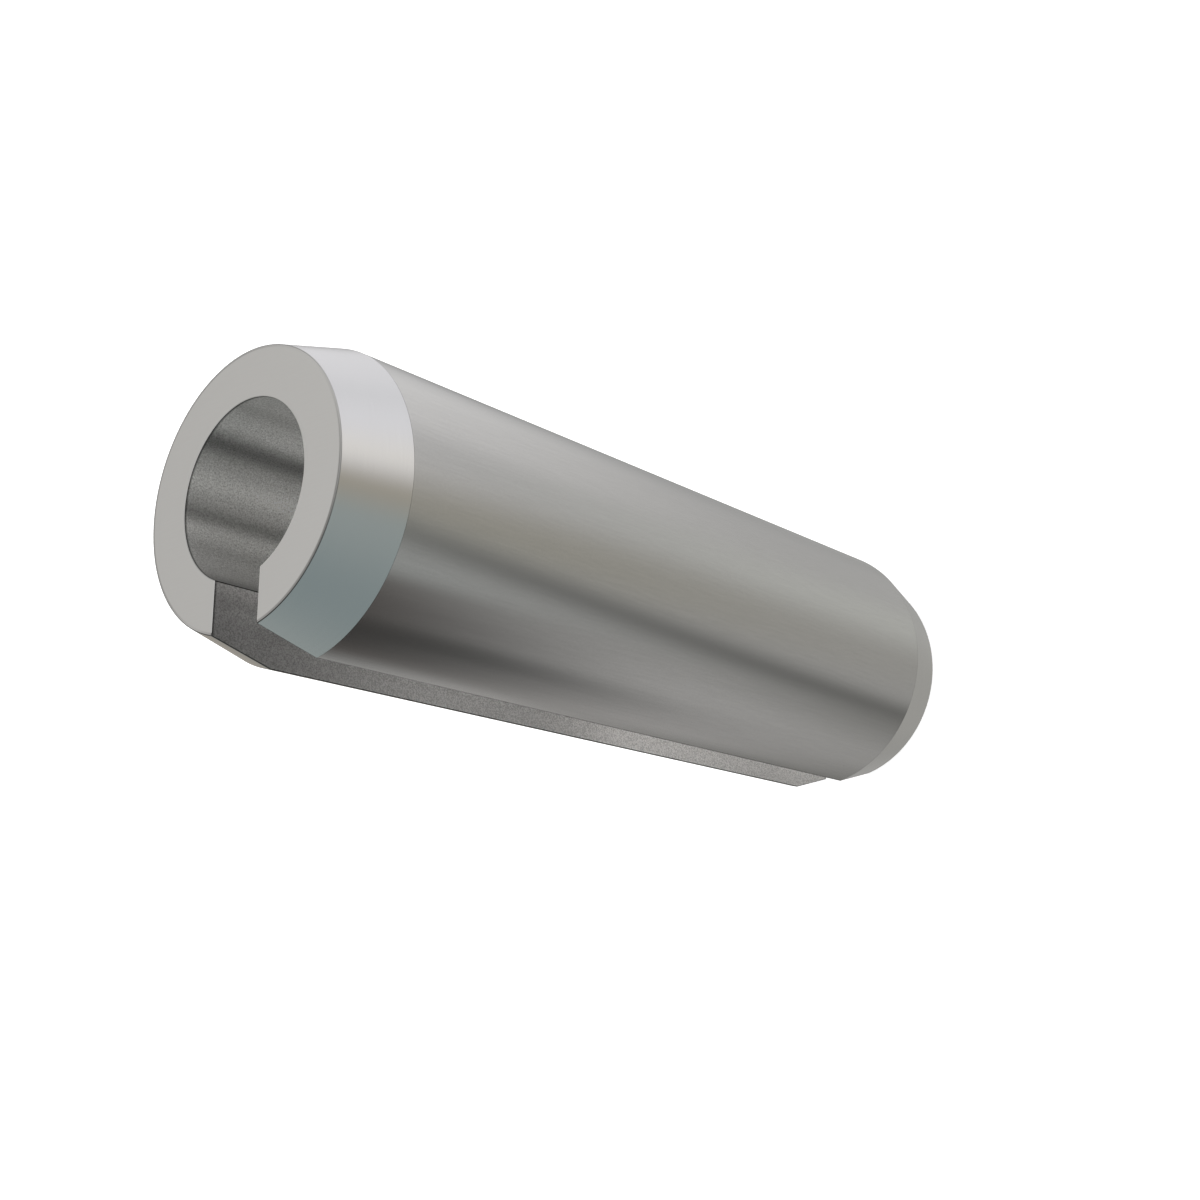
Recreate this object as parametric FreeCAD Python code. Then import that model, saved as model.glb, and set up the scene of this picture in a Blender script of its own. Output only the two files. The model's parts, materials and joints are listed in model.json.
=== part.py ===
"""Slotted spring pin, rolled from spring-steel strip.

It is a straight sleeve, open along one side and tapered at both ends. The pin stands on one end: Z runs
along its axis, the origin lies on the axis at the lower end face, and the slot faces -Y. All lengths are in
millimetres and are those of the free pin, before it is driven into its hole.
"""

import FreeCAD
import Part

import math
import os

# Sizes of the free pin
OUTER_DIAMETER = 12.5
WALL = 2.75
LENGTH = 40.0
SLOT_WIDTH = 2.6

# Lead-in taper, the same at both ends
TAPER_LENGTH = 2.75
TAPER_ANGLE = 15.0  # degrees from the pin's axis

# Radius that tumbling leaves on the cut edges of the strip
EDGE_BREAK = 0.04
EDGE_SHARE = 0.2  # the most of the end face's width that one rounded edge may take

# Radii that follow from the sizes above
OUTER_RADIUS = OUTER_DIAMETER / 2
BORE_RADIUS = OUTER_RADIUS - WALL
END_RADIUS = OUTER_RADIUS - TAPER_LENGTH * math.tan(math.radians(TAPER_ANGLE))
EDGE_RADIUS = min(EDGE_BREAK, EDGE_SHARE * (END_RADIUS - BORE_RADIUS))

UP = FreeCAD.Vector(0, 0, 1)
ORIGIN = FreeCAD.Vector(0, 0, 0)
FULL_TURN = 360
TOLERANCE = 1e-6


def strip_section():
    """Face in the XY plane with the C shape of the rolled strip, its two slot walls flat and parallel."""
    half_slot = SLOT_WIDTH / 2

    def lip(radius, side):
        """Point where the slot wall on one side, -1 or 1, meets a circle about the axis."""
        return FreeCAD.Vector(side * half_slot, -math.sqrt(radius**2 - half_slot**2), 0)

    def back(radius):
        """Point of a circle about the axis that lies opposite the slot."""
        return FreeCAD.Vector(0, radius, 0)

    outside = Part.Arc(lip(OUTER_RADIUS, 1), back(OUTER_RADIUS), lip(OUTER_RADIUS, -1))
    left_wall = Part.LineSegment(lip(OUTER_RADIUS, -1), lip(BORE_RADIUS, -1))
    inside = Part.Arc(lip(BORE_RADIUS, -1), back(BORE_RADIUS), lip(BORE_RADIUS, 1))
    right_wall = Part.LineSegment(lip(BORE_RADIUS, 1), lip(OUTER_RADIUS, 1))
    outline = Part.Wire([curve.toShape() for curve in (outside, left_wall, inside, right_wall)])
    return Part.Face(outline)


def tapered_envelope():
    """Solid of revolution that holds the pin: a cylinder with a lead-in taper at each end."""
    corners = [
        (0, 0),
        (END_RADIUS, 0),
        (OUTER_RADIUS, TAPER_LENGTH),
        (OUTER_RADIUS, LENGTH - TAPER_LENGTH),
        (END_RADIUS, LENGTH),
        (0, LENGTH),
        (0, 0),
    ]
    half_profile = Part.Face(Part.makePolygon([FreeCAD.Vector(r, 0, z) for r, z in corners]))
    return half_profile.revolve(ORIGIN, UP, FULL_TURN)


def is_taper_root(edge):
    """True for the edge where a taper runs out into the shank, which is left as turned."""
    is_round = isinstance(edge.Curve, Part.Circle)
    return is_round and abs(edge.Curve.Radius - OUTER_RADIUS) < TOLERANCE


def break_edges(pin):
    """Rounds every cut edge of the pin: round both end faces and along both slot walls."""
    cut_edges = [edge for edge in pin.Edges if not is_taper_root(edge)]
    return pin.makeFillet(EDGE_RADIUS, cut_edges)


def slotted_pin():
    """The finished pin: the section drawn out to length, tapered at both ends, with its edges rounded."""
    rolled_strip = strip_section().extrude(UP * LENGTH)
    tapered_pin = rolled_strip.common(tapered_envelope())
    return break_edges(tapered_pin)


def main():
    """Builds the pin and writes its STEP file."""
    os.makedirs("parts", exist_ok=True)
    pin = slotted_pin()
    pin.exportStep("parts/slotted_pin.step")
    print(f"slotted_pin: {len(pin.Solids)} solid, valid {pin.isValid()}, volume {pin.Volume:.2f} mm3")


main()
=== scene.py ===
"""Slotted spring pin of bare steel, standing on a pale floor in soft studio light.

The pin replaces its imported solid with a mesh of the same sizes, made by one Geometry Nodes tree: a plain
tube that is bent into the rolled section, with every cut edge rounded. Each kind of surface on it has a
finish of its own. Lengths are in metres and angles in degrees, unless a name or a docstring says otherwise.
"""

import json
import logging
import math
from collections.abc import Mapping, Sequence
from dataclasses import dataclass, field
from enum import Enum
from typing import Any

import bmesh
import bpy
from mathutils import Matrix, Vector


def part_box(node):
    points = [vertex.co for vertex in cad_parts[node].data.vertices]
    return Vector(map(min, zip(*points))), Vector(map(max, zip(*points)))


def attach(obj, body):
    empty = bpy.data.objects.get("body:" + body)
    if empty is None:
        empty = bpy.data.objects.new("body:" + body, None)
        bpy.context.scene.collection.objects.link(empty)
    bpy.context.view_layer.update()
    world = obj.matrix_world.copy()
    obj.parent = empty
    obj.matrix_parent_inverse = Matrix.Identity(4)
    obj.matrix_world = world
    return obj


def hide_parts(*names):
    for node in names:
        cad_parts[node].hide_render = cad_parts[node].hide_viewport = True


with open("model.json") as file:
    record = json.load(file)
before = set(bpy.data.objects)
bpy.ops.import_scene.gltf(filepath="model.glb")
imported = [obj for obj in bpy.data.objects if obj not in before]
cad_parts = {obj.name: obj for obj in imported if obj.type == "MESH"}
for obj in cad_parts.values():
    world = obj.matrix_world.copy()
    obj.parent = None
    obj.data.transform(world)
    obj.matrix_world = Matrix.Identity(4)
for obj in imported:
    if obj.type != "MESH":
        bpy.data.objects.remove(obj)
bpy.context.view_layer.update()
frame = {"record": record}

log = logging.getLogger("spring_pin")

NODE = "slotted_pin"
BODY = "root"
MM = 0.001
HALF_TURN = 180.0
DEGREES_PER_RADIAN = HALF_TURN / math.pi
MID_HEIGHT = 0.5  # of a finish's marks, which run from 0 to 1

Colour = tuple[float, float, float]


class Wire:
    """One output of a node, usable in Python sums.

    A sum on numbers adds Math nodes, and a sum on vectors or colours adds Vector Math nodes.
    """

    def __init__(self, bench: "NodeBench", socket: bpy.types.NodeSocket) -> None:
        """Remembers the tree's bench and the output socket."""
        self.bench = bench
        self.socket = socket

    @property
    def is_vector(self) -> bool:
        """True for a vector or a colour."""
        return self.socket.type in {"VECTOR", "RGBA"}

    def sum(self, operation: str, *values: Any) -> "Wire":
        """Adds one Math or Vector Math node.

        Args:
            operation: the node's operation.
            values: what goes into its sockets, in order.

        Returns:
            The node's result.
        """
        vectors = any(isinstance(value, Wire) and value.is_vector for value in values)
        kind = "ShaderNodeVectorMath" if vectors else "ShaderNodeMath"
        return self.bench.add(kind, {"operation": operation}, dict(enumerate(values)))

    def __add__(self, other: Any) -> "Wire":
        """self + other."""
        return self.sum("ADD", self, other)

    def __radd__(self, other: Any) -> "Wire":
        """other + self."""
        return self.sum("ADD", other, self)

    def __sub__(self, other: Any) -> "Wire":
        """self - other."""
        return self.sum("SUBTRACT", self, other)

    def __rsub__(self, other: Any) -> "Wire":
        """other - self."""
        return self.sum("SUBTRACT", other, self)

    def __mul__(self, other: Any) -> "Wire":
        """self * other."""
        return self.sum("MULTIPLY", self, other)

    def __rmul__(self, other: Any) -> "Wire":
        """other * self."""
        return self.sum("MULTIPLY", other, self)

    def __truediv__(self, other: Any) -> "Wire":
        """self / other."""
        return self.sum("DIVIDE", self, other)

    def __rtruediv__(self, other: Any) -> "Wire":
        """other / self."""
        return self.sum("DIVIDE", other, self)

    def __neg__(self) -> "Wire":
        """-self."""
        return self.sum("MULTIPLY", self, -1.0)

    def floor(self) -> "Wire":
        """The whole number at or under this one."""
        return self.sum("FLOOR", self)

    def round(self) -> "Wire":
        """The nearest whole number."""
        return self.sum("ROUND", self)

    def least(self, other: Any) -> "Wire":
        """The smaller of two numbers."""
        return self.sum("MINIMUM", self, other)

    def most(self, other: Any) -> "Wire":
        """The larger of two numbers."""
        return self.sum("MAXIMUM", self, other)

    def sin(self) -> "Wire":
        """Sine of an angle in radians."""
        return self.sum("SINE", self)

    def cos(self) -> "Wire":
        """Cosine of an angle in radians."""
        return self.sum("COSINE", self)

    def tan(self) -> "Wire":
        """Tangent of an angle in radians."""
        return self.sum("TANGENT", self)

    def arcsin(self) -> "Wire":
        """Angle in radians that has this sine."""
        return self.sum("ARCSINE", self)

    def root(self) -> "Wire":
        """Square root."""
        return self.sum("SQRT", self)

    def exp(self) -> "Wire":
        """e to the power of this number."""
        return self.sum("EXPONENT", self)

    def magnitude(self) -> "Wire":
        """This number without its sign."""
        return self.sum("ABSOLUTE", self)

    def is_over(self, limit: Any) -> "Wire":
        """1 where this number is over a limit, otherwise 0."""
        return self.sum("GREATER_THAN", self, limit)

    def turn_from(self, azimuth: Any) -> "Wire":
        """How many degrees this azimuth is turned from another, either way round."""
        return self.bench.add(
            "ShaderNodeMath", {"operation": "PINGPONG"}, {0: self - azimuth, 1: HALF_TURN}
        )

    def fade(self, middle: float, softness: float, top: float = 1.0) -> "Wire":
        """A smooth step down from a top to 0, as this number passes a middle.

        Args:
            middle: where half of the top is left.
            softness: how far the step reaches to either side of the middle.
            top: what a small number gives.

        Returns:
            The height on the step.
        """
        low, high = middle - softness, middle + softness
        sockets = {"Value": self, "From Min": low, "From Max": high, "To Min": top, "To Max": 0.0}
        return self.bench.add("ShaderNodeMapRange", {"interpolation_type": "SMOOTHSTEP"}, sockets)


class NodeBench:
    """Builds one node tree, whether geometry, material or world."""

    def __init__(self, tree: bpy.types.NodeTree) -> None:
        """Empties the tree."""
        self.tree = tree
        tree.nodes.clear()

    def add(
        self,
        kind: str,
        settings: Mapping[str, Any] | None = None,
        sockets: Mapping[int | str, Any] | None = None,
        output: int | str = 0,
    ) -> Wire:
        """Adds a node.

        Args:
            kind: the node's type.
            settings: its settings. Two of them add sockets: "items" is how many inputs an Index Switch has,
                and "captures" lists a Capture Attribute's (type, name) pairs.
            sockets: what goes into its inputs, by number or name: a value, or a Wire for a link.
            output: which output to return, by number or name.

        Returns:
            The chosen output.
        """
        node = self.tree.nodes.new(kind)
        for name, value in (settings or {}).items():
            if name == "items":
                for _ in range(len(node.index_switch_items), value):
                    node.index_switch_items.new()
            elif name == "captures":
                for item_type, item_name in value:
                    node.capture_items.new(item_type, item_name)
            else:
                setattr(node, name, value)
        for key, value in (sockets or {}).items():
            self.put(node.inputs[key], value)
        if not node.outputs:
            return Wire(self, node.inputs[0])
        return Wire(self, node.outputs[output])

    def put(self, socket: bpy.types.NodeSocket, value: Any) -> None:
        """Links a Wire to a socket, or sets the socket's value."""
        if isinstance(value, Wire):
            self.tree.links.new(value.socket, socket)
        elif socket.type == "VECTOR" and isinstance(value, (int, float)):
            socket.default_value = (value, value, value)
        elif socket.type == "RGBA" and len(value) == 3:
            socket.default_value = (*value, 1.0)
        else:
            socket.default_value = value

    def other_output(self, wire: Wire, output: int | str) -> Wire:
        """Another output of the node that a wire comes from."""
        return Wire(self, wire.socket.node.outputs[output])

    def vector(self, x: Any, y: Any, z: Any) -> Wire:
        """A vector from its three parts."""
        return self.add("ShaderNodeCombineXYZ", None, {"X": x, "Y": y, "Z": z})

    def parts(self, vector: Wire) -> tuple[Wire, Wire, Wire]:
        """The three parts of a vector."""
        x = self.add("ShaderNodeSeparateXYZ", None, {"Vector": vector})
        return x, self.other_output(x, "Y"), self.other_output(x, "Z")

    def azimuth(self, x: Wire, y: Wire) -> Wire:
        """Azimuth of the point (x, y), from +X towards +Y."""
        return x.sum("ARCTAN2", y, x) * DEGREES_PER_RADIAN

    def radius(self, x: Wire, y: Wire) -> Wire:
        """Distance of the point (x, y) from the axis."""
        return (x * x + y * y).root()

    def mix(self, factor: Any, low: Any, high: Any) -> Wire:
        """Mixes two colours.

        Args:
            factor: 0 for the low colour, 1 for the high one.
            low: the first colour.
            high: the second colour.

        Returns:
            The mixed colour.
        """
        settings = {"data_type": "RGBA", "blend_type": "MIX"}
        return self.add("ShaderNodeMix", settings, {"Factor": factor, 6: low, 7: high}, output=2)


class Region(Enum):
    """The kinds of surface on the pin."""

    EDGE = "edge"
    SHANK = "shank"
    TAPER = "taper"
    END = "end"
    BORE = "bore"
    SLOT = "slot"


@dataclass(frozen=True)
class PinSizes:
    """The pin's real sizes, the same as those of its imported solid."""

    outer_radius: float
    bore_radius: float
    length: float
    taper_length: float
    taper_angle: float = 15.0
    slot_width: float = 2.6 * MM
    edge_radius: float = 0.04 * MM

    @classmethod
    def from_frame(cls) -> "PinSizes":
        """Reads the sizes that the frame holds: the node's box and the record's round mounts."""
        low, high = (Vector(corner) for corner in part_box(NODE))
        mounts = {mount["name"]: mount["dims"] for mount in frame["record"]["mounts"] if mount["dims"]}
        length = high.z - low.z
        return cls(
            outer_radius=(high.x - low.x) / 2,
            bore_radius=mounts["bore"]["r_mm"] * MM,
            length=length,
            taper_length=(length - mounts["shank"]["length_mm"] * MM) / 2,
        )

    @property
    def end_radius(self) -> float:
        """Outer radius of the end faces, where the tapers start."""
        return self.outer_radius - self.taper_length * math.tan(math.radians(self.taper_angle))


@dataclass(frozen=True)
class SteelFinish:
    """A finish of bare steel: a metal whose tone, gloss and relief follow the marks of how it was made.

    A subclass says where the marks run, in `marks`, and where painted shade and painted highlights lie, in
    `shade`. The relief and the sizes in a subclass are in millimetres.
    """

    name: str
    tone: Colour
    roughness: float
    tone_depth: float
    roughness_depth: float
    relief: float
    metallic: float = 1.0

    def marks(self, bench: NodeBench, place: Wire) -> Wire:
        """Height of the marks, from 0 to 1.

        Args:
            bench: the material's bench.
            place: where the point is on the pin, in millimetres.

        Returns:
            The height.
        """
        raise NotImplementedError

    def shade(self, bench: NodeBench, place: Wire) -> Wire | float:
        """How much of its tone the steel keeps at a place under painted shade and highlights: 1 for all of
        it.

        Args:
            bench: the material's bench.
            place: where the point is on the pin, in millimetres.

        Returns:
            The share.
        """
        return 1.0

    def material(self) -> bpy.types.Material:
        """Builds the finish's material.

        Returns:
            The material.
        """
        material = bpy.data.materials.new(self.name)
        material.use_nodes = True
        bench = NodeBench(material.node_tree)
        place = bench.add("ShaderNodeTexCoord", output="Object") * (1 / MM)
        height = self.marks(bench, place)
        dark = tuple(part * (1 - self.tone_depth) for part in self.tone)
        light = tuple(min(1.0, part * (1 + self.tone_depth)) for part in self.tone)
        bump = bench.add(
            "ShaderNodeBump", None, {"Strength": 1.0, "Distance": self.relief * MM, "Height": height}
        )
        sockets = {
            # Base Color carries the painted shade and painted highlights that shade() gives
            "Base Color": bench.mix(height, dark, light) * self.shade(bench, place),
            "Metallic": self.metallic,
            "Roughness": self.roughness - (height - MID_HEIGHT) * (2 * self.roughness_depth),
            "Normal": bump,
        }
        shader = bench.add("ShaderNodeBsdfPrincipled", None, sockets)
        bench.add("ShaderNodeOutputMaterial", None, {"Surface": shader})
        return material


def noise(bench: NodeBench, place: Wire, scale: float, detail: float = 2.0, roughness: float = 0.5) -> Wire:
    """Smooth noise from 0 to 1.

    Args:
        bench: the bench of the tree.
        place: where to read the noise.
        scale: waves per unit of place.
        detail: how many finer layers it has.
        roughness: how strong the finer layers are.

    Returns:
        The noise's height.
    """
    sockets = {"Vector": place, "Scale": scale, "Detail": detail, "Roughness": roughness}
    return bench.add("ShaderNodeTexNoise", None, sockets)


@dataclass(frozen=True)
class Band:
    """A soft band of painted shade across the axis, at a height in millimetres."""

    height: float
    half_width: float
    softness: float
    depth: float

    def cover(self, height: Wire) -> Wire:
        """How much the band darkens at a height."""
        return (height - self.height).magnitude().fade(self.half_width, self.softness, self.depth)


@dataclass(frozen=True)
class Streak:
    """A soft streak of painted shade along the axis, or a stretch of painted shade on a line round it.

    Its azimuth runs from +X towards +Y. A depth under 0 makes it a painted highlight instead.
    """

    azimuth: float
    half_width: float
    depth: float

    def cover(self, azimuth: Wire) -> Wire:
        """How much the streak darkens at an azimuth."""
        return azimuth.turn_from(self.azimuth).fade(self.half_width, self.half_width, self.depth)


def line_depth(start: float, streaks: Sequence[Streak], azimuth: Wire) -> Wire:
    """How much painted shade a line round the axis has at an azimuth.

    Args:
        start: how much the line darkens where there is no streak.
        streaks: the streaks, which add to it.
        azimuth: where round the axis.

    Returns:
        The painted shade, under 0 where the line has a painted highlight instead.
    """
    first, *others = streaks
    total = first.cover(azimuth) + start
    for streak in others:
        total = total + streak.cover(azimuth)
    return total


@dataclass(frozen=True, kw_only=True)
class DrawnSteel(SteelFinish):
    """Strip as it left the draw plate: fine lines along the axis over a fine grain.

    A narrow line of painted shade runs beside each lip of the slot and grows darker towards the lower end.
    """

    half_slot: float
    lines_per_mm: float = 9.0
    line_length: float = 14.0
    grain_per_mm: float = 14.0
    grain_share: float = 0.5
    # The line of painted shade beside each lip of the slot
    lip_gap: float = 0.06
    lip_width: float = 0.04
    lip_depth: float = 0.5
    lip_band: Band = Band(height=0.0, half_width=22.0, softness=14.0, depth=0.3)

    def marks(self, bench: NodeBench, place: Wire) -> Wire:
        """Height of the lines and the grain."""
        stretched = place * (1.0, 1.0, 1 / self.line_length)
        lines = noise(bench, stretched, self.lines_per_mm, detail=3.0, roughness=0.6)
        grain = noise(bench, place, self.grain_per_mm)
        return lines * (1 - self.grain_share) + grain * self.grain_share

    def shade(self, bench: NodeBench, place: Wire) -> Wire | float:
        """The share that the painted shade along each lip of the slot leaves."""
        x, y, z = bench.parts(place)
        across = (x.magnitude() - (self.half_slot + self.lip_gap)) / self.lip_width
        line = (-(across * across)).exp() * (-y).is_over(0.0)
        return 1.0 - line * (self.lip_band.cover(z) + self.lip_depth)


@dataclass(frozen=True)
class TurnedSteel(SteelFinish):
    """A turned taper: fine rings round the axis."""

    rings_per_mm: float = 14.0
    ring_length: float = 30.0

    def marks(self, bench: NodeBench, place: Wire) -> Wire:
        """Height of the rings."""
        stretched = place * (1 / self.ring_length, 1 / self.ring_length, 1.0)
        return noise(bench, stretched, self.rings_per_mm, detail=3.0, roughness=0.6)


@dataclass(frozen=True, kw_only=True)
class BrokenEdge(TurnedSteel):
    """A rounded cut edge, dark with painted shade, with a painted highlight along one side of the upper end's
    outer rim.

    Round the bore and the slot the painted shade is darker still, with a painted highlight where it turns
    into the upper end face.
    """

    end_radius: float
    upper_end: float
    # Where the painted highlight on the outer rim lies, and how deep the painted shade and highlights round
    # the bore and the slot are
    rim_reach: float = 0.113
    rim_drop: float = 1.0
    rim_side: Streak = Streak(30, 34, -4.0)
    inner_depth: float = 0.6
    bright_drop: float = 0.015
    bright_depth: float = -3.2
    bright_sides: tuple[Streak, ...] = (Streak(-10, 65, -4.5), Streak(-70, 14, -4.0))

    def shade(self, bench: NodeBench, place: Wire) -> Wire | float:
        """The share that is left: under 1 for painted shade, over 1 for painted highlights."""
        x, y, z = bench.parts(place)
        azimuth = bench.azimuth(x, y)
        is_outer = bench.radius(x, y).is_over(self.end_radius - self.rim_reach)
        # Painted highlight along one side of the upper end's outer rim
        outer = z.is_over(self.upper_end - self.rim_drop) * self.rim_side.cover(azimuth)
        # Painted shade round the bore and the slot, and a painted highlight where they turn into the upper
        # end face
        painted_highlight = line_depth(self.bright_depth - self.inner_depth, self.bright_sides, azimuth)
        inner = z.is_over(self.upper_end - self.bright_drop) * painted_highlight + self.inner_depth
        return 1.0 - (is_outer * outer + (1.0 - is_outer) * inner)


@dataclass(frozen=True, kw_only=True)
class GroundSteel(SteelFinish):
    """A ground end face: faint straight lines, all one way, and a line of painted shade along its outer rim,
    with painted highlights at some azimuths.
    """

    end_radius: float
    lines_per_mm: float = 16.0
    line_length: float = 25.0
    # The line of painted shade along the outer rim; streaks with a depth under 0 are painted highlights
    rim_gap: float = 0.068
    rim_width: float = 0.04
    rim_depth: float = 0.40
    rim_streaks: tuple[Streak, ...] = (
        Streak(-28, 28, 0.27),
        Streak(50, 30, -0.40),
        Streak(-118, 11, -0.33),
    )

    def marks(self, bench: NodeBench, place: Wire) -> Wire:
        """Height of the lines."""
        stretched = place * (1 / self.line_length, 1.0, 1.0)
        return noise(bench, stretched, self.lines_per_mm, detail=2.0, roughness=0.55)

    def shade(self, bench: NodeBench, place: Wire) -> Wire | float:
        """The share that the painted shade along the outer rim leaves."""
        x, y, _ = bench.parts(place)
        azimuth = bench.azimuth(x, y)
        across = (bench.radius(x, y) - (self.end_radius - self.rim_gap)) / self.rim_width
        line = (-(across * across)).exp()
        return 1.0 - line * line_depth(self.rim_depth, self.rim_streaks, azimuth)


@dataclass(frozen=True)
class ScaledSteel(SteelFinish):
    """The dull skin that hardening leaves, a fine grain, under streaks of painted reflection along the axis
    and bands of painted shade across it.
    """

    grain_per_mm: float = 15.0
    grain_contrast: float = 1.8
    # Streaks of painted reflection and bands of painted shade
    streaks: tuple[Streak, ...] = ()
    bands: tuple[Band, ...] = ()

    def marks(self, bench: NodeBench, place: Wire) -> Wire:
        """Height of the grain."""
        grain = noise(bench, place, self.grain_per_mm, detail=1.0)
        return (grain - MID_HEIGHT) * self.grain_contrast + MID_HEIGHT

    def shade(self, bench: NodeBench, place: Wire) -> Wire | float:
        """The share that the painted reflections and the painted shade leave."""
        x, y, z = bench.parts(place)
        azimuth = bench.azimuth(x, y)
        covers = [streak.cover(azimuth) for streak in self.streaks]
        covers += [band.cover(z) for band in self.bands]
        share: Wire | float = 1.0
        for cover in covers:
            share = share * (1.0 - cover)
        return share


def bore_streaks() -> tuple[Streak, ...]:
    """Painted reflections down the bore: its dark and pale streaks."""
    return (
        Streak(120, 9, -0.15),
        Streak(159, 6.5, -0.42),
        Streak(191, 7, -0.24),
        Streak(133, 7.5, 0.66),
        Streak(180, 5, 0.42),
        Streak(100, 5, 0.15),
        Streak(204, 6, 0.1),
        Streak(236, 14, 0.2),
        Streak(244, 9, 0.5),
    )


def slot_streaks() -> tuple[Streak, ...]:
    """Painted reflections along one wall of the slot: pale and dark streaks."""
    return (
        Streak(248.6, 1.9, -0.35),
        Streak(248, 5.3, -0.5),
        Streak(253.5, 0.8, -0.17),
        Streak(259, 1.6, 0.2),
    )


def mouth_line(upper_end: float, drop: float = 0.05) -> Band:
    """The narrow line of painted shade just inside the mouth of the bore and the slot."""
    return Band(upper_end - drop, half_width=0.045, softness=0.02, depth=0.5)


def bore_bands(upper_end: float) -> tuple[Band, ...]:
    """The bands of painted shade round the bore, both at its upper end."""
    return Band(upper_end, 2.5, 3.5, 0.27), mouth_line(upper_end)


def slot_bands(upper_end: float, lower_end: float = 0.0) -> tuple[Band, ...]:
    """The bands of painted shade across the slot's walls: each starts at an end and fades away from it."""
    return (
        mouth_line(upper_end),
        Band(upper_end, 0.9, 0.9, 0.25),
        Band(upper_end, 6.5, 5.5, 0.53),
        Band(upper_end, 20.8, 3.2, 0.3),
        Band(lower_end, 7.0, 7.0, 0.28),
        Band(lower_end, 1.2, 1.6, 0.22),
    )


def pin_finishes(sizes: PinSizes) -> dict[Region, SteelFinish]:
    """Chooses the finish of each region of the pin.

    Args:
        sizes: the pin's sizes, which say where the lines and bands lie.

    Returns:
        The finishes.
    """
    half_slot = sizes.slot_width / 2 / MM
    end_radius = sizes.end_radius / MM
    upper_end = sizes.length / MM
    return {
        Region.EDGE: BrokenEdge(
            "broken_edge",
            # A dark tone that paints shade along every rounded edge
            tone=(0.09, 0.09, 0.088),
            roughness=0.35,
            tone_depth=0.10,
            roughness_depth=0.05,
            relief=0.0005,
            end_radius=end_radius,
            upper_end=upper_end,
        ),
        Region.SHANK: DrawnSteel(
            # Real drawing lines and grain, and painted shade along the lips of the slot
            "drawn_shank",
            tone=(0.55, 0.547, 0.537),
            roughness=0.18,
            tone_depth=0.10,
            roughness_depth=0.02,
            relief=0.0003,
            half_slot=half_slot,
        ),
        Region.TAPER: TurnedSteel(
            "turned_taper",
            tone=(0.60, 0.60, 0.60),
            roughness=0.18,
            tone_depth=0.02,
            roughness_depth=0.03,
            relief=0.0003,
        ),
        Region.END: GroundSteel(
            # Real grinding lines, and painted shade and highlights along the outer rim
            "ground_end",
            tone=(0.56, 0.555, 0.545),
            roughness=0.34,
            tone_depth=0.02,
            roughness_depth=0.03,
            relief=0.0003,
            end_radius=end_radius,
        ),
        Region.BORE: ScaledSteel(
            "scaled_bore_and_painted_light",
            tone=(0.72, 0.703, 0.686),
            roughness=0.50,
            tone_depth=0.42,
            roughness_depth=0.03,
            relief=0.0015,
            metallic=0.52,
            grain_per_mm=17.0,
            grain_contrast=1.5,
            # Dark and pale streaks of painted reflection
            streaks=bore_streaks(),
            # Bands of painted shade at the bore's upper end
            bands=bore_bands(upper_end),
        ),
        Region.SLOT: ScaledSteel(
            "scaled_slot_and_painted_light",
            tone=(0.81, 0.785, 0.772),
            roughness=0.48,
            tone_depth=0.24,
            roughness_depth=0.03,
            relief=0.0015,
            metallic=0.5,
            grain_per_mm=18.0,
            grain_contrast=3.6,
            # Pale and dark streaks of painted reflection
            streaks=slot_streaks(),
            # Bands of painted shade near both ends of the slot's walls
            bands=slot_bands(upper_end),
        ),
    }


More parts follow.
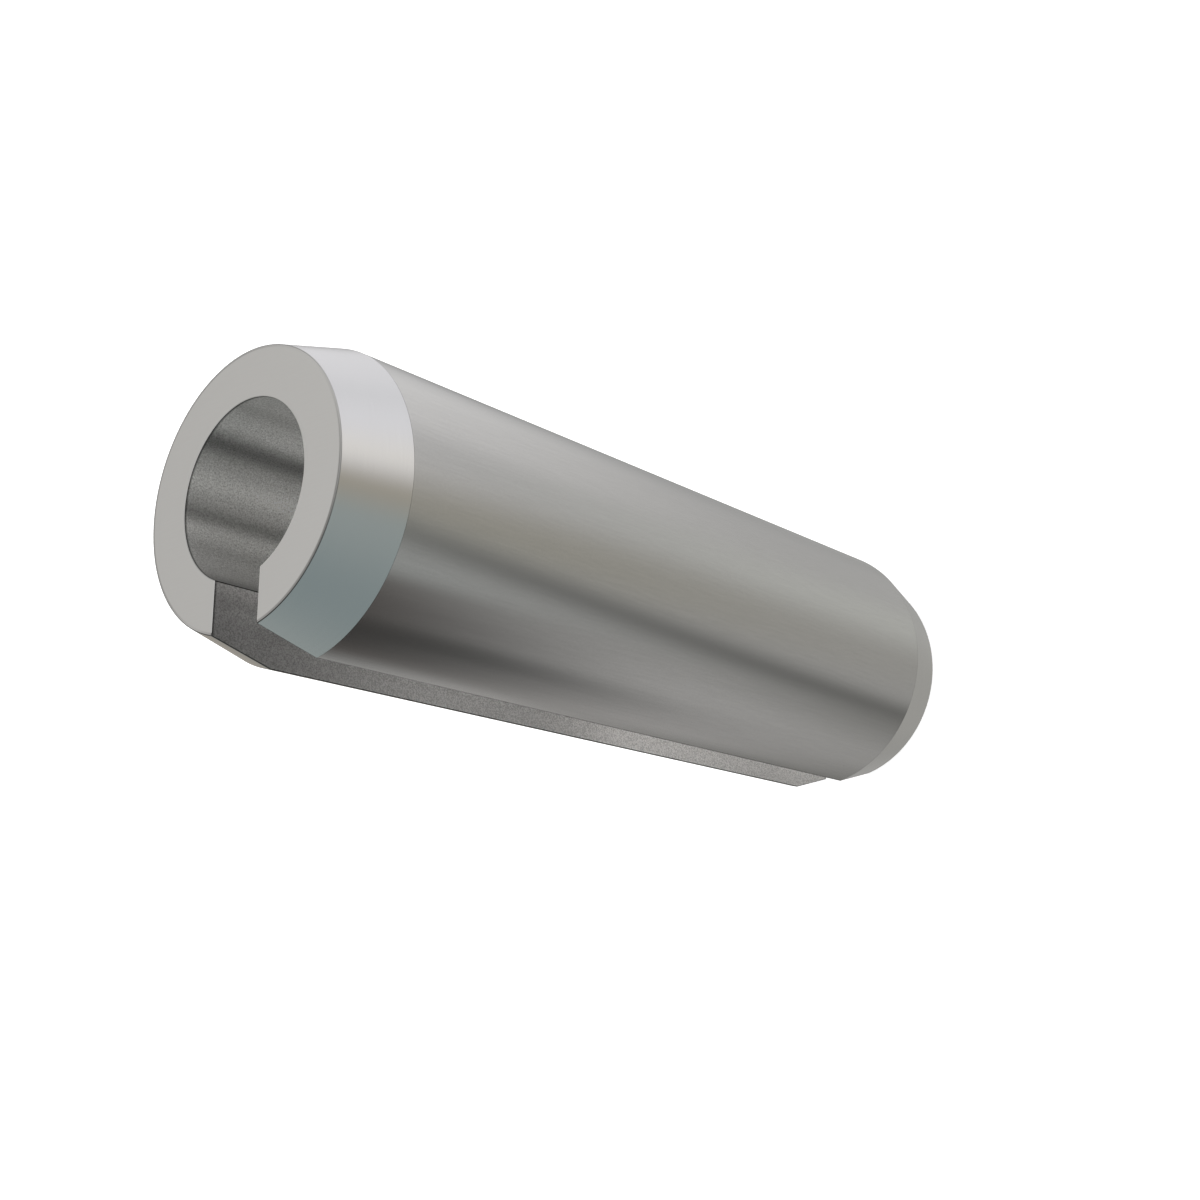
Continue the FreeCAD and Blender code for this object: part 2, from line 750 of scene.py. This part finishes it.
@dataclass
class SpringPin:
    """The rolled pin: one mesh, made by a Geometry Nodes tree and dressed region by region."""

    sizes: PinSizes
    name: str = "spring_pin"
    edge_steps: int = 4
    turn_steps: int = 240
    profile_corners: int = 6
    merge_distance: float = 1e-7
    flat_share: float = 0.99999
    materials: dict[Region, bpy.types.Material] = field(default_factory=dict)

    def build(self) -> bpy.types.Object:
        """Makes the pin's mesh and ties it to the frame.

        Returns:
            The finished object.
        """
        finishes = pin_finishes(self.sizes)
        self.materials = {region: finish.material() for region, finish in finishes.items()}
        tree = self._tree()
        carrier = bpy.data.objects.new(self.name, bpy.data.meshes.new(self.name))
        bpy.context.scene.collection.objects.link(carrier)
        modifier = carrier.modifiers.new("rolled_section", "NODES")
        modifier.node_group = tree
        self._set_inputs(modifier)
        graph = bpy.context.evaluated_depsgraph_get()
        made = bpy.data.meshes.new_from_object(
            carrier.evaluated_get(graph), preserve_all_data_layers=True, depsgraph=graph
        )
        carrier.modifiers.remove(modifier)
        carrier.data = made
        made.name = self.name
        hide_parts(NODE)
        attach(carrier, BODY)
        return carrier

    def _inputs(self) -> dict[str, float | int]:
        """The tree's named inputs, with their values for this pin."""
        sizes = self.sizes
        return {
            "Outer Radius": sizes.outer_radius,
            "Bore Radius": sizes.bore_radius,
            "Length": sizes.length,
            "Taper Length": sizes.taper_length,
            "Taper Angle": math.radians(sizes.taper_angle),
            "Slot Width": sizes.slot_width,
            "Edge Radius": sizes.edge_radius,
            "Edge Steps": self.edge_steps,
            "Turn Steps": self.turn_steps,
        }

    def _set_inputs(self, modifier: bpy.types.NodesModifier) -> None:
        """Sets the modifier's inputs by their sockets' identifiers."""
        values = self._inputs()
        for item in modifier.node_group.interface.items_tree:
            if item.in_out == "INPUT" and item.name in values:
                modifier[item.identifier] = values[item.name]

    def _tree(self) -> bpy.types.NodeTree:
        """Builds the Geometry Nodes tree that makes the pin.

        A plain tube gives the mesh its faces. Each of its points has a number round the wall's profile and a
        station along the turn from one slot wall to the other, and moves from there to its place on the pin.

        Returns:
            The tree.
        """
        tree = bpy.data.node_groups.new("rolled_pin", "GeometryNodeTree")
        for name, value in self._inputs().items():
            kind = "NodeSocketInt" if isinstance(value, int) else "NodeSocketFloat"
            tree.interface.new_socket(name, in_out="INPUT", socket_type=kind)
        tree.interface.new_socket("Geometry", in_out="OUTPUT", socket_type="NodeSocketGeometry")
        bench = NodeBench(tree)
        given = bench.add("NodeGroupInput")
        size = {name: bench.other_output(given, name) for name in self._inputs()}

        fan = size["Edge Steps"] + 1
        last_station = size["Turn Steps"] + size["Edge Steps"] * 2
        tube, station, point = self._tube(bench, fan * self.profile_corners, last_station + 1)
        corner = (point / fan).floor()
        share = (point - corner * fan) / size["Edge Steps"]
        core, tilt = self._profile(bench, size, corner, share)
        place, normal, facing = self._rolled(bench, size, station, last_station, core, tilt)

        held = bench.add(
            "GeometryNodeCaptureAttribute",
            {"domain": "POINT", "captures": [("VECTOR", "Facing"), ("VECTOR", "Normal")]},
            {"Geometry": tube, "Facing": facing, "Normal": normal},
        )
        held_facing = bench.other_output(held, "Facing")
        held_normal = bench.other_output(held, "Normal")
        moved = bench.add("GeometryNodeSetPosition", None, {"Geometry": held, "Position": place})
        joined = bench.add(
            "GeometryNodeMergeByDistance", None, {"Geometry": moved, "Distance": self.merge_distance}
        )
        outside_out = bench.add("GeometryNodeFlipFaces", None, {"Mesh": joined})
        smooth = bench.add(
            "GeometryNodeSetShadeSmooth", None, {"Geometry": outside_out, "Shade Smooth": True}
        )
        shaded = bench.add(
            "GeometryNodeSetMeshNormal",
            {"mode": "FREE", "domain": "POINT"},
            {"Mesh": smooth, "Custom Normal": held_normal},
        )
        real = bench.add("GeometryNodeRealizeInstances", None, {"Geometry": shaded})
        dressed = self._dress(bench, real, held_facing, size["Taper Angle"])
        bench.add("NodeGroupOutput", None, {"Geometry": dressed})
        return tree

    def _tube(self, bench: NodeBench, around: Wire, along: Wire) -> tuple[Wire, Wire, Wire]:
        """Makes a plain closed tube.

        Args:
            bench: the tree's bench.
            around: how many points go round the tube.
            along: how many stations the tube has.

        Returns:
            The tube, and for each of its points the number of its station and of its place round the tube.
        """
        index = bench.add("GeometryNodeInputIndex")
        line = bench.add("GeometryNodeCurvePrimitiveLine", None, {"Start": (0, 0, 0), "End": (0, 0, 1)})
        path = bench.add("GeometryNodeResampleCurve", None, {"Curve": line, "Count": along})
        ring = bench.add("GeometryNodeCurvePrimitiveCircle", None, {"Resolution": around, "Radius": 1.0})
        number = {"domain": "POINT", "captures": [("INT", "Number")]}
        path = bench.add("GeometryNodeCaptureAttribute", number, {"Geometry": path, "Number": index})
        ring = bench.add("GeometryNodeCaptureAttribute", number, {"Geometry": ring, "Number": index})
        tube = bench.add(
            "GeometryNodeCurveToMesh", None, {"Curve": path, "Profile Curve": ring, "Fill Caps": True}
        )
        return tube, bench.other_output(path, "Number"), bench.other_output(ring, "Number")

    def _rolled(
        self,
        bench: NodeBench,
        size: dict[str, Wire],
        station: Wire,
        last_station: Wire,
        core: Wire,
        tilt: Wire,
    ) -> tuple[Wire, Wire, Wire]:
        """Moves a point of the tube to its place on the pin.

        The pin's core lies one edge radius inside its surface, and each point stands one edge radius outside
        a corner of the core, so every cut edge comes out round. The first and the last few stations round
        the edges of the slot walls.

        Args:
            bench: the tree's bench.
            size: the tree's inputs.
            station: the number of the point's station.
            last_station: the number of the last one.
            core: the core's corner as (radius, 0, height).
            tilt: the angle in radians of the outward direction in the profile, from level.

        Returns:
            The point's place, its normal, and where it faces: away from the axis, out of the slot wall, and
            up.
        """
        core_radius, _, core_height = bench.parts(core)
        edge = size["Edge Radius"]
        edge_share = station.least(last_station - station) / size["Edge Steps"]
        roll = edge_share.least(1.0) * (math.pi / 2)
        turn = ((station - size["Edge Steps"]) / size["Turn Steps"]).most(0.0).least(1.0)
        outward = roll.sin() * tilt.cos()
        upward = roll.sin() * tilt.sin()
        from_wall = roll.cos()
        radius = core_radius + edge * outward
        height = core_height + edge * upward
        from_middle = size["Slot Width"] / 2 + edge * (1 - from_wall)
        lip_angle = (from_middle / core_radius).arcsin()
        angle = lip_angle + turn * (2 * math.pi - 2 * lip_angle)
        side = turn.is_over(0.5) * 2 - 1
        place = bench.vector(radius * angle.sin(), -(radius * angle.cos()), height)
        sideways = outward * angle.sin() + from_wall * side
        normal = bench.vector(sideways, -(outward * angle.cos()), upward)
        return place, normal, bench.vector(outward, from_wall, upward)

    def _profile(
        self, bench: NodeBench, size: dict[str, Wire], corner: Wire, share: Wire
    ) -> tuple[Wire, Wire]:
        """Finds a point's corner of the core, and which way its surface faces there.

        The wall's profile has six corners: bore, end and taper root at the lower end, then the same at the
        upper end in reverse. A taper root is crisp: its points face the way of one side or the other.

        Args:
            bench: the tree's bench.
            size: the tree's inputs.
            corner: the number of the corner.
            share: how far round the corner the point is, from 0 to 1.

        Returns:
            The core's corner as (radius, 0, height), and the angle in radians of the outward direction, from
            level and away from the axis.
        """
        edge = size["Edge Radius"]
        slope = size["Taper Angle"]
        quarter = math.pi / 2
        end_radius = size["Outer Radius"] - size["Taper Length"] * slope.tan()
        bore = size["Bore Radius"] + edge
        end = end_radius - edge * (math.pi / 4 - slope / 2).tan()
        root = size["Outer Radius"] - edge
        root_height = size["Taper Length"] + edge * (slope / 2).tan()
        top = size["Length"]
        corners = [
            bench.vector(bore, 0.0, edge),
            bench.vector(end, 0.0, edge),
            bench.vector(root, 0.0, root_height),
            bench.vector(root, 0.0, top - root_height),
            bench.vector(end, 0.0, top - edge),
            bench.vector(bore, 0.0, top - edge),
        ]
        start_and_sweep = [
            bench.vector(-2 * quarter, quarter, 0.0),
            bench.vector(-quarter, quarter - slope, 0.0),
            bench.vector(-slope, slope, 1.0),
            bench.vector(0.0, slope, 1.0),
            bench.vector(slope, quarter - slope, 0.0),
            bench.vector(quarter, quarter, 0.0),
        ]
        core = self._choose(bench, corner, corners)
        start, sweep, is_crisp = bench.parts(self._choose(bench, corner, start_and_sweep))
        share = share + is_crisp * (share.round() - share)
        return core, start + sweep * share

    def _choose(self, bench: NodeBench, number: Wire, vectors: Sequence[Wire]) -> Wire:
        """The vector that has this number in the list."""
        settings = {"data_type": "VECTOR", "items": len(vectors)}
        sockets = {"Index": number} | {str(place): vector for place, vector in enumerate(vectors)}
        return bench.add("GeometryNodeIndexSwitch", settings, sockets)

    def _dress(self, bench: NodeBench, pin: Wire, facing: Wire, slope: Wire) -> Wire:
        """Gives each region of the pin its material.

        Args:
            bench: the tree's bench.
            pin: the pin's mesh.
            facing: where each face points: away from the axis, out of the slot wall, and up.
            slope: the taper's angle.

        Returns:
            The dressed mesh.
        """
        outward, from_slot, upward = bench.parts(facing)
        level = upward.magnitude()
        along_taper = outward * slope.cos() + level * slope.sin()
        chosen = {
            Region.SHANK: outward,
            Region.BORE: -outward,
            Region.END: level,
            Region.SLOT: from_slot,
            Region.TAPER: along_taper,
        }
        every_face = {"Geometry": pin, "Material": self.materials[Region.EDGE]}
        pin = bench.add("GeometryNodeSetMaterial", None, every_face)
        for region, match in chosen.items():
            sockets = {
                "Geometry": pin,
                "Selection": match.is_over(self.flat_share),
                "Material": self.materials[region],
            }
            pin = bench.add("GeometryNodeSetMaterial", None, sockets)
        return pin


@dataclass(frozen=True)
class Card:
    """One card of the studio, as the pin's polish mirrors it.

    Azimuth runs from +X towards +Y, and elevation from level towards the zenith. The card's edge fades over
    its softness to either side. A lean slants the card: its azimuth moves by so many degrees for each degree
    of elevation.
    """

    azimuth: float
    elevation: float
    half_width: float
    half_height: float
    colour: Colour
    strength: float = 1.0
    softness: float = 17.0
    lean: float = 0.0

    @property
    def bottom(self) -> float:
        """The elevation where the card's lower edge has faded out."""
        return self.elevation - self.half_height - self.softness

    @property
    def top(self) -> float:
        """The elevation where the card's upper edge has faded out."""
        return self.elevation + self.half_height + self.softness

    def mask(self, azimuth: Wire, elevation: Wire) -> Wire:
        """How much the card covers, from 0 to 1.

        Args:
            azimuth: the direction's azimuth.
            elevation: the direction's elevation.

        Returns:
            The cover.
        """
        rise = elevation - self.elevation
        up = rise.magnitude().fade(self.half_height, self.softness, self.strength)
        if self.half_width >= HALF_TURN:
            return up
        middle = rise * self.lean + self.azimuth if self.lean else self.azimuth
        return up * azimuth.turn_from(middle).fade(self.half_width, self.softness)


@dataclass(frozen=True)
class Studio:
    """The soft surroundings that light the pin and show in its surface."""

    ground: Colour = (0.495, 0.49, 0.48)
    pale: Colour = (1.0, 1.0, 1.0)
    cards: tuple[Card, ...] = ()

    def build(self) -> bpy.types.World:
        """Makes the world.

        Returns:
            The world.
        """
        world = bpy.data.worlds.new("studio")
        world.use_nodes = True
        bpy.context.scene.world = world
        bench = NodeBench(world.node_tree)
        direction = bench.add("ShaderNodeTexCoord", output="Generated")
        x, y, z = bench.parts(direction)
        azimuth = bench.azimuth(x, y)
        elevation = z.arcsin() * DEGREES_PER_RADIAN
        under = self._lit(bench, azimuth, elevation, [card for card in self.cards if card.bottom < 0])
        over = self._lit(bench, azimuth, elevation, [card for card in self.cards if card.top > 0])
        lit = bench.add("ShaderNodeMixShader", None, {"Fac": elevation.is_over(0.0), 1: under, 2: over})
        seen = bench.add("ShaderNodeBackground", None, {"Color": self.pale, "Strength": 1.0})
        by_camera = bench.add("ShaderNodeLightPath", output="Is Camera Ray")
        both = bench.add("ShaderNodeMixShader", None, {"Fac": by_camera, 1: lit, 2: seen})
        bench.add("ShaderNodeOutputWorld", None, {"Surface": both})
        return world

    def _lit(self, bench: NodeBench, azimuth: Wire, elevation: Wire, cards: Sequence[Card]) -> Wire:
        """Hangs cards over the ground's colour.

        Args:
            bench: the world's bench.
            azimuth: the direction's azimuth.
            elevation: the direction's elevation.
            cards: the cards, from the back one to the front one.

        Returns:
            The background that they make.
        """
        colour: Wire | Colour = self.ground
        for card in cards:
            colour = bench.mix(card.mask(azimuth, elevation), colour, card.colour)
        return bench.add("ShaderNodeBackground", None, {"Color": colour, "Strength": 1.0})


def studio_cards() -> tuple[Card, ...]:
    """The studio's cards, from the back one to the front one."""
    return (
        # Under the pin, for the lower taper and the broad tones of the shank
        Card(95, -64, 60, 12, (0.67, 0.67, 0.66), 0.8, 20),
        Card(172, -62, 34, 8, (0.33, 0.33, 0.32), 0.7, 14),
        Card(122, -47, 30, 5, (0.37, 0.37, 0.365), 0.85, 14),
        Card(78, -50.5, 16, 2, (0.45, 0.45, 0.44), 0.3, 7),
        Card(44, -61, 18, 14, (0.74, 0.75, 0.71), 0.9, 20),
        Card(-88, -49.5, 40, 3.5, (0.71, 0.69, 0.68), 0.95, 8),
        Card(6, -43, 20, 6, (0.44, 0.42, 0.345), 0.85, 17),
        Card(142, -64, 31, 11, (0.32, 0.32, 0.31), 0.65, 10),
        Card(0, -90, 360, 24, (0.457, 0.45, 0.422)),
        # Under the pin, for the shank's dark and pale stripes towards the slot
        Card(-52, -60, 12, 7, (0.12, 0.12, 0.11), 0.7),
        Card(-66, -60, 14, 3, (0.12, 0.12, 0.11), 0.5, 8),
        Card(-130, -60, 20, 8, (0.12, 0.12, 0.11), 0.85, 18),
        Card(-143, -54, 10, 5, (0.12, 0.12, 0.11), 0.6, 9),
        Card(-88, -61, 12, 3, (0.12, 0.12, 0.11), 0.3, 8),
        Card(-113, -49, 14, 2, (0.80, 0.78, 0.77), 0.6, 9),
        # About level with the pin, for the upper taper and the bright side of the shank
        Card(86, -34, 28, 9, (0.98, 0.97, 0.96), 1.0, 15),
        Card(78, -5, 62, 29, (1.07, 1.06, 1.09)),
        Card(-86, -5, 83, 28, (0.41, 0.46, 0.45), 1.0, 14),
        Card(-74, -8, 32, 26, (0.27, 0.335, 0.345), 0.7, 30),
        Card(72, -16, 10, 8, (0.90, 0.905, 0.93), 0.5, 14),
        Card(2.5, -9, 9, 24, (0.48, 0.43, 0.33), 0.75, 14),
        Card(26, -10, 10, 19.5, (1.12, 1.07, 0.99), 0.7, 14),
        # Between those, for the upper end of the shank and the narrow strip beyond the slot
        Card(-88, -35, 39, 7, (0.05, 0.03, 0.024), 1.0, 8),
        Card(-73, -39, 8, 5, (0.05, 0.04, 0.04), 0.45, 7),
        Card(-94, -43, 8, 3, (0.04, 0.04, 0.04), 0.7, 5),
        Card(-140, -42.5, 10, 4, (0.62, 0.60, 0.59), 0.7, 8),
        Card(-130, -36.5, 6, 3, (0.10, 0.10, 0.10), 0.65, 4),
        Card(152, -39.5, 22, 5, (0.28, 0.28, 0.28), 0.97, 12),
        Card(180, -29, 18, 12, (0.38, 0.35, 0.305), 0.9, 12),
        Card(-102, -39, 16, 6.5, (0.022, 0.023, 0.023), 0.85, 14),
        Card(-31, -50, 6.5, 16, (0.07, 0.07, 0.065), 0.88, 12, 1.3),
        # Over the pin, for the upper end face and the bore
        Card(156, 40, 60, 25, (0.705, 0.695, 0.675)),
        Card(110, 50, 25, 20, (0.97, 0.965, 0.95), 1.0, 30),
        Card(0, 90, 360, 36, (1.4, 1.4, 1.4)),
    )


@dataclass(frozen=True)
class Floor:
    """The plain pale floor."""

    half_width: float = 1.5
    tone: Colour = (0.9, 0.9, 0.9)
    glow: float = 0.62

    def build(self) -> bpy.types.Object:
        """Makes the floor, which the pin's polish doesn't mirror.

        Returns:
            The floor.
        """
        mesh = bpy.data.meshes.new("floor")
        shape = bmesh.new()
        bmesh.ops.create_grid(shape, x_segments=1, y_segments=1, size=self.half_width)
        shape.to_mesh(mesh)
        shape.free()
        floor = bpy.data.objects.new("floor", mesh)
        bpy.context.scene.collection.objects.link(floor)
        material = bpy.data.materials.new("pale_floor")
        material.use_nodes = True
        bench = NodeBench(material.node_tree)
        sockets = {
            "Base Color": self.tone,
            "Roughness": 1.0,
            "Specular IOR Level": 0.0,
            "Emission Color": self.tone,
            "Emission Strength": self.glow,
        }
        shader = bench.add("ShaderNodeBsdfPrincipled", None, sockets)
        bench.add("ShaderNodeOutputMaterial", None, {"Surface": shader})
        mesh.materials.append(material)
        floor.visible_glossy = False
        return floor


@dataclass(frozen=True)
class SoftLight:
    """A large soft lamp over the floor, out of sight of the pin's polish."""

    width: float = 0.6
    height: float = 0.5
    watts: float = 1.0
    aside: tuple[float, float] = (0.1, -0.1)

    def build(self) -> bpy.types.Object:
        """Makes the lamp.

        Returns:
            The lamp.
        """
        lamp = bpy.data.lights.new("soft_light", "AREA")
        lamp.shape = "SQUARE"
        lamp.size = self.width
        lamp.energy = self.watts
        holder = bpy.data.objects.new("soft_light", lamp)
        holder.location = (*self.aside, self.height)
        holder.rotation_euler = (-Vector(holder.location)).to_track_quat("-Z", "Y").to_euler()
        holder.visible_glossy = False
        bpy.context.scene.collection.objects.link(holder)
        return holder


@dataclass(frozen=True)
class PhotoCamera:
    """The camera of the photograph, aimed at the middle of the pin.

    Azimuth 0 looks along +Y, and the roll turns the camera about its line of sight.
    """

    azimuth: float = 66.25
    elevation: float = 46.59
    distance: float = 75.7 * MM
    roll: float = -72.4
    lens_mm: float = 50.12
    sensor_mm: float = 36.0

    def build(self, target: Vector) -> bpy.types.Object:
        """Makes the camera and puts it in use.

        Args:
            target: the point that it is aimed at.

        Returns:
            The camera.
        """
        azimuth, elevation = math.radians(self.azimuth), math.radians(self.elevation)
        level = Vector((math.sin(azimuth), -math.cos(azimuth), 0.0))
        away = level * math.cos(elevation) + Vector((0.0, 0.0, math.sin(elevation)))
        facing = (-away).to_track_quat("-Z", "Y").to_matrix()
        rolled = facing @ Matrix.Rotation(math.radians(self.roll), 3, "Z")
        camera = bpy.data.cameras.new("photo_camera")
        camera.lens = self.lens_mm
        camera.sensor_width = self.sensor_mm
        camera.clip_start = MM
        holder = bpy.data.objects.new("photo_camera", camera)
        holder.matrix_world = Matrix.Translation(target + away * self.distance) @ rolled.to_4x4()
        bpy.context.scene.collection.objects.link(holder)
        bpy.context.scene.camera = holder
        return holder


def main() -> None:
    """Builds the pin, the floor, the light and the camera."""
    logging.basicConfig(level=logging.INFO, format="%(name)s: %(message)s")
    bpy.context.scene.view_settings.view_transform = "Standard"
    low, high = (Vector(corner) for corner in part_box(NODE))
    pin = SpringPin(PinSizes.from_frame()).build()
    log.info("%s: %d faces, custom normals %s", pin.name, len(pin.data.polygons), pin.data.has_custom_normals)
    Floor().build()
    Studio(cards=studio_cards()).build()
    SoftLight().build()
    PhotoCamera().build((low + high) / 2)


if __name__ == "__main__":
    main()
